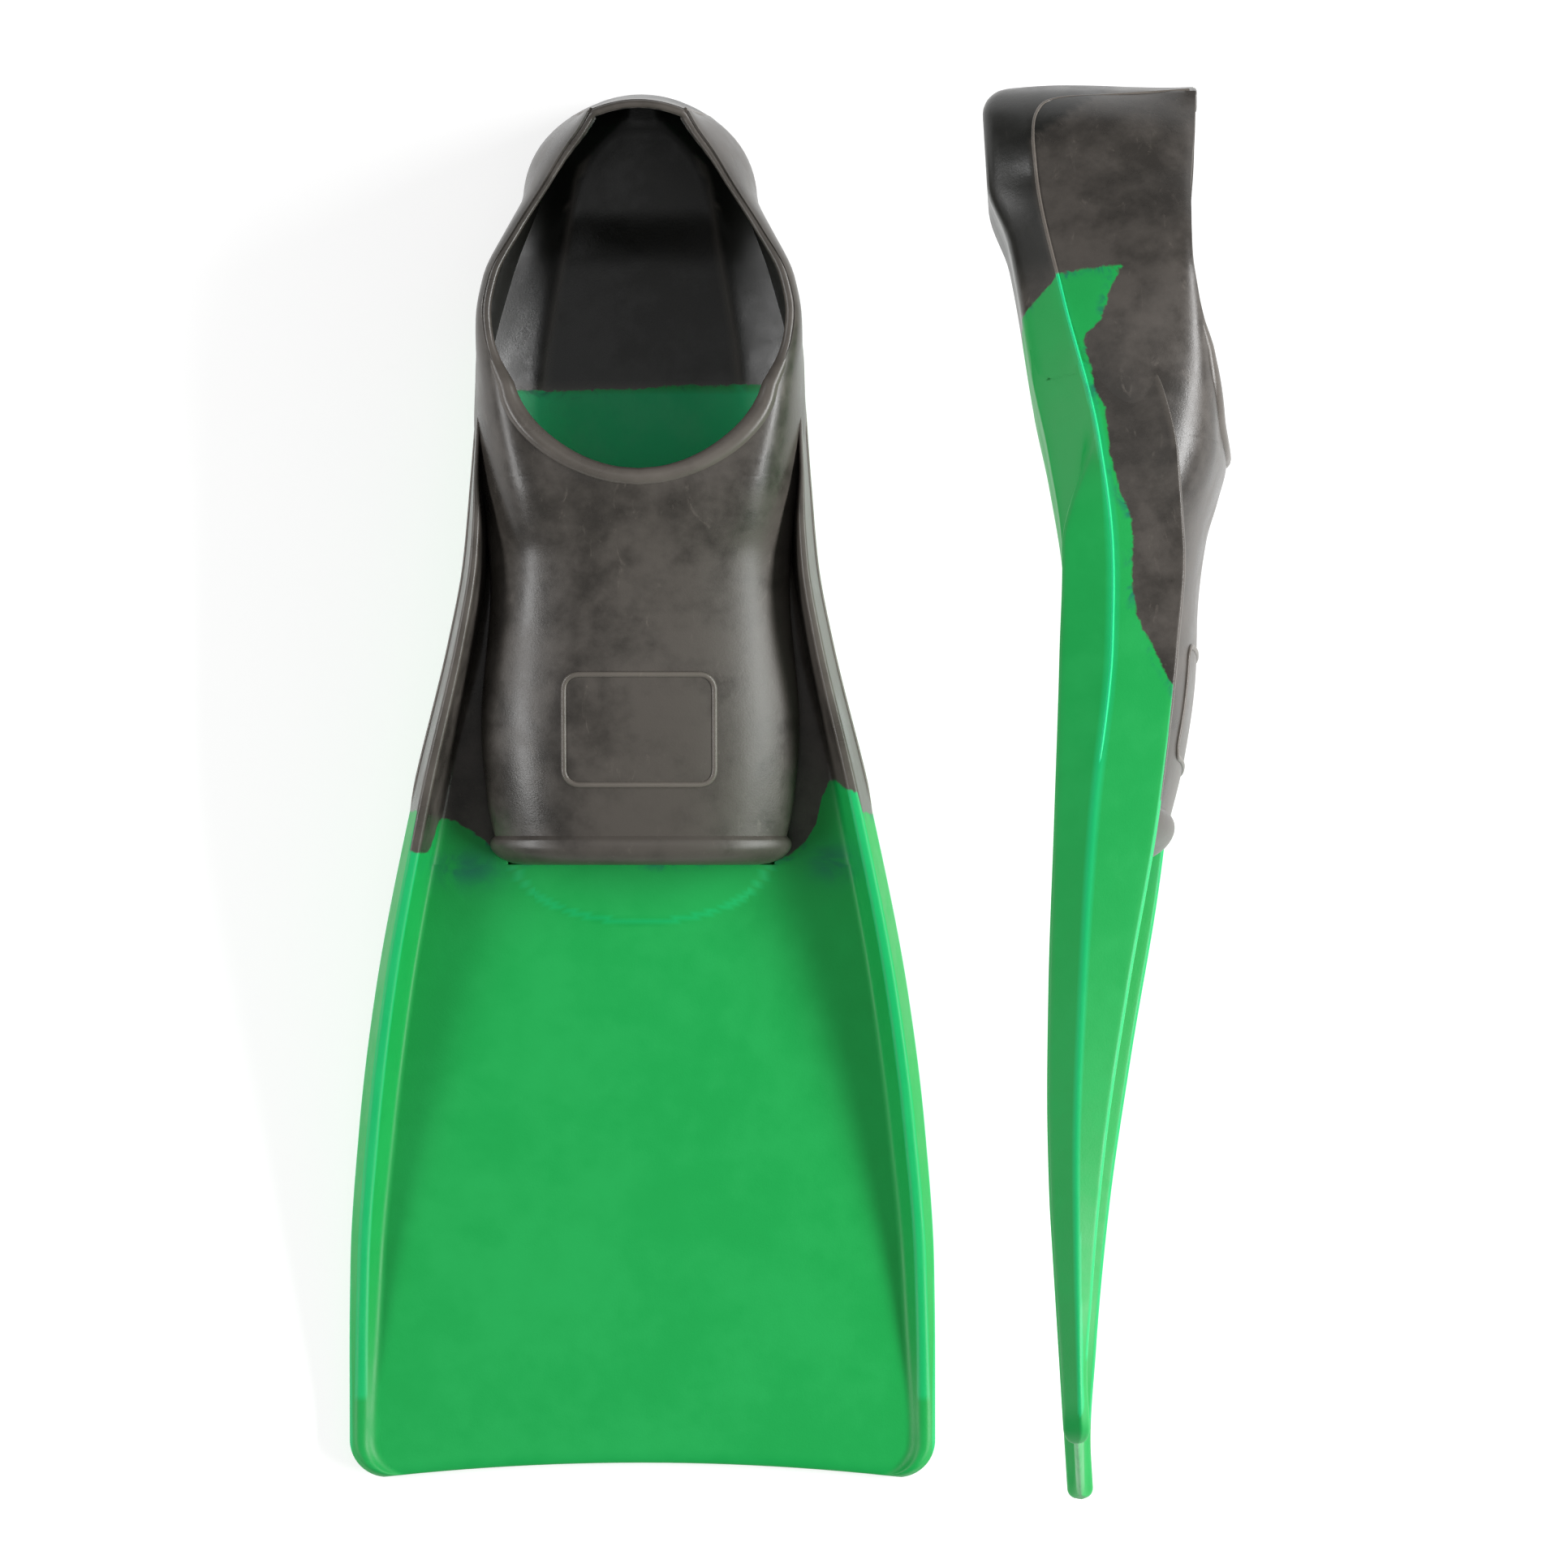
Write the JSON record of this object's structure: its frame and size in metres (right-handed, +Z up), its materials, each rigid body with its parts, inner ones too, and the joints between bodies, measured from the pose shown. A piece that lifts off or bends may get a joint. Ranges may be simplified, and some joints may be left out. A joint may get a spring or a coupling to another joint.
{
  "type": "swim fins",
  "caption": "Pair of two-colour rubber full-foot swim fins, one sole-down and one on its side; long blades between tall rails, open heel mouths and open toes.",
  "frame": {"origin": "bottom centre of the pair's bounding box, on the ground", "axes": "+Y from the blades to the heels, +Z up, +X from the sole-down left fin to the right fin"},
  "size_m": [0.3082, 0.4926, 0.2154],
  "materials": {
    "green_rubber": "smooth satin moulded rubber",
    "black_rubber": "soft satin moulded rubber"
  },
  "bodies": {
    "left_foot": {"left_fin_heel_block": "black_rubber", "left_fin_footbed": "green_rubber", "left_fin_blade_root": "black_rubber", "left_fin_inner_rail_root": "black_rubber", "left_fin_outer_rail_root": "black_rubber", "left_fin_patch_frame": "black_rubber", "left_fin_heel_cup": "black_rubber", "left_fin_inner_side_wall": "black_rubber", "left_fin_outer_side_wall": "black_rubber", "left_fin_instep": "black_rubber", "left_fin_toe_bead": "black_rubber", "left_fin_opening_bead": "black_rubber"},
    "left_blade_1": {"left_fin_blade_span_1": "green_rubber", "left_fin_inner_rail_1": "green_rubber", "left_fin_outer_rail_1": "green_rubber"},
    "left_blade_2": {"left_fin_blade_span_2": "green_rubber", "left_fin_inner_rail_2": "green_rubber", "left_fin_outer_rail_2": "green_rubber"},
    "left_blade_3": {"left_fin_blade_span_3": "green_rubber", "left_fin_inner_rail_3": "green_rubber", "left_fin_outer_rail_3": "green_rubber"},
    "right_foot": {"right_fin_heel_block": "black_rubber", "right_fin_footbed": "green_rubber", "right_fin_blade_root": "black_rubber", "right_fin_inner_rail_root": "black_rubber", "right_fin_outer_rail_root": "black_rubber", "right_fin_patch_frame": "black_rubber", "right_fin_heel_cup": "black_rubber", "right_fin_inner_side_wall": "black_rubber", "right_fin_outer_side_wall": "black_rubber", "right_fin_instep": "black_rubber", "right_fin_toe_bead": "black_rubber", "right_fin_opening_bead": "black_rubber"},
    "right_blade_1": {"right_fin_blade_span_1": "green_rubber", "right_fin_inner_rail_1": "green_rubber", "right_fin_outer_rail_1": "green_rubber"},
    "right_blade_2": {"right_fin_blade_span_2": "green_rubber", "right_fin_inner_rail_2": "green_rubber", "right_fin_outer_rail_2": "green_rubber"},
    "right_blade_3": {"right_fin_blade_span_3": "green_rubber", "right_fin_inner_rail_3": "green_rubber", "right_fin_outer_rail_3": "green_rubber"}
  },
  "joints": [
    {"name": "left_blade_flex_1", "type": "hinge", "parent": "left_foot", "child": "left_blade_1", "pos_m": [-0.05164, -0.05258, 0.01751], "axis": [1, 0, 0], "range_deg": [-6, 6], "stiffness_Nm_per_rad": 14},
    {"name": "left_blade_flex_2", "type": "hinge", "parent": "left_blade_1", "child": "left_blade_2", "pos_m": [-0.05164, -0.11508, 0.01084], "axis": [1, 0, 0], "range_deg": [-8, 8], "stiffness_Nm_per_rad": 11},
    {"name": "left_blade_flex_3", "type": "hinge", "parent": "left_blade_2", "child": "left_blade_3", "pos_m": [-0.05164, -0.17808, 0.00679], "axis": [1, 0, 0], "range_deg": [-10, 10], "stiffness_Nm_per_rad": 8},
    {"name": "right_fin_lift", "type": "slide", "parent": "left_foot", "child": "right_foot", "axis": [0, 0, 1], "range_m": [0, 0.25]},
    {"name": "right_blade_flex_1", "type": "hinge", "parent": "right_foot", "child": "right_blade_1", "pos_m": [0.10154, -0.04786, 0.0889], "axis": [0.0089, -0.1449, -0.9894], "range_deg": [-6, 6], "stiffness_Nm_per_rad": 14},
    {"name": "right_blade_flex_2", "type": "hinge", "parent": "right_blade_1", "child": "right_blade_2", "pos_m": [0.09865, -0.10999, 0.09798], "axis": [0.0089, -0.1449, -0.9894], "range_deg": [-8, 8], "stiffness_Nm_per_rad": 11},
    {"name": "right_blade_flex_3", "type": "hinge", "parent": "right_blade_2", "child": "right_blade_3", "pos_m": [0.09842, -0.17246, 0.10712], "axis": [0.0089, -0.1449, -0.9894], "range_deg": [-10, 10], "stiffness_Nm_per_rad": 8}
  ],
  "couplings": [
    {"joint": "left_blade_flex_2", "follows": "left_blade_flex_1", "ratio": 1.3333},
    {"joint": "left_blade_flex_3", "follows": "left_blade_flex_1", "ratio": 1.6667},
    {"joint": "right_blade_flex_2", "follows": "right_blade_flex_1", "ratio": 1.3333},
    {"joint": "right_blade_flex_3", "follows": "right_blade_flex_1", "ratio": 1.6667}
  ]
}
